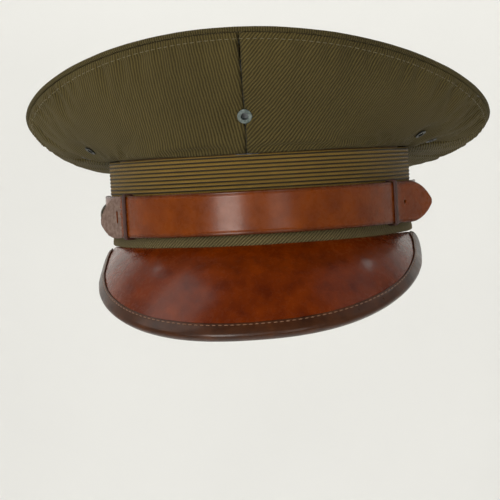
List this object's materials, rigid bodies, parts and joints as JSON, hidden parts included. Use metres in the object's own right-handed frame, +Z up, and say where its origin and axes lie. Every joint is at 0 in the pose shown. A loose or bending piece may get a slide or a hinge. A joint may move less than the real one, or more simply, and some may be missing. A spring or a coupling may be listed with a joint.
{
  "type": "military peaked cap",
  "caption": "Soft-crowned military peaked cap with a ribbed braid band, a leather visor and a two-part leather chin strap on side buttons.",
  "frame": {"origin": "centre of the head opening in the plane of the band's lower edge", "axes": "+Z up through the crown, the cap faces -Y, +X is the wearer's left"},
  "size_m": [0.2626, 0.2923, 0.1522],
  "materials": {
    "crown_cloth": "wool whipcord, matt",
    "band_strip": "wool whipcord, matt",
    "braid": "ribbed mohair braid, slight sheen",
    "visor_leather": "polished russet leather",
    "visor_under_leather": "matt dark green leather",
    "binding_leather": "dark brown leather, semi-gloss",
    "strap_leather": "polished russet leather",
    "keeper_leather": "dark worn leather",
    "sweat_leather": "tan leather, worn smooth",
    "lining_cloth": "satin lining",
    "board": "fibre board",
    "spring_steel": "drawn",
    "eyelet_metal": "blackened, worn to grey",
    "button_bronze": "dark bronzed"
  },
  "bodies": {
    "cap": {"crown_top": "crown_cloth", "quarter_front_left": "crown_cloth", "quarter_front_right": "crown_cloth", "quarter_back_left": "crown_cloth", "quarter_back_right": "crown_cloth", "rim_welt": "crown_cloth", "rim_hoop": "spring_steel", "front_stay": "spring_steel", "band_cloth": "band_strip", "band_stiffener": "board", "band_braid": "braid", "sweatband": "sweat_leather", "sweatband_reed": "sweat_leather", "lining_side": "lining_cloth", "lining_top": "lining_cloth", "visor_top": "visor_leather", "visor_core": "board", "visor_underside": "visor_under_leather", "visor_binding": "binding_leather", "badge_eyelet": "eyelet_metal", "badge_eyelet_washer": "eyelet_metal", "vent_eyelets_left": "eyelet_metal", "vent_eyelets_right": "eyelet_metal"},
    "chin_strap": {"strap_outer": "strap_leather", "strap_inner": "strap_leather"},
    "keeper_left": {"keeper_left": "keeper_leather"},
    "keeper_right": {"keeper_right": "keeper_leather"},
    "button_left": {"side_button_left": "button_bronze", "button_washer_left": "spring_steel"},
    "button_right": {"side_button_right": "button_bronze", "button_washer_right": "spring_steel"}
  },
  "joints": [
    {"name": "chin_strap_swing", "type": "hinge", "parent": "cap", "child": "chin_strap", "pos_m": [0, 0, 0.016], "axis": [1, 0, 0], "range_deg": [-3, 1.5]},
    {"name": "keeper_left_slide", "type": "hinge", "parent": "chin_strap", "child": "keeper_left", "pos_m": [0.04, 0, 0.016], "axis": [0, 0, 1], "range_deg": [0, 2.5]},
    {"name": "keeper_right_slide", "type": "hinge", "parent": "chin_strap", "child": "keeper_right", "pos_m": [-0.04, 0, 0.016], "axis": [0, 0, 1], "range_deg": [-7.5, 0]},
    {"name": "button_left_turn", "type": "hinge", "parent": "cap", "child": "button_left", "pos_m": [-0.084, 0, 0.016], "axis": [1, 0, 0], "continuous": true},
    {"name": "button_right_turn", "type": "hinge", "parent": "cap", "child": "button_right", "pos_m": [0.084, 0, 0.016], "axis": [1, 0, 0], "continuous": true}
  ]
}
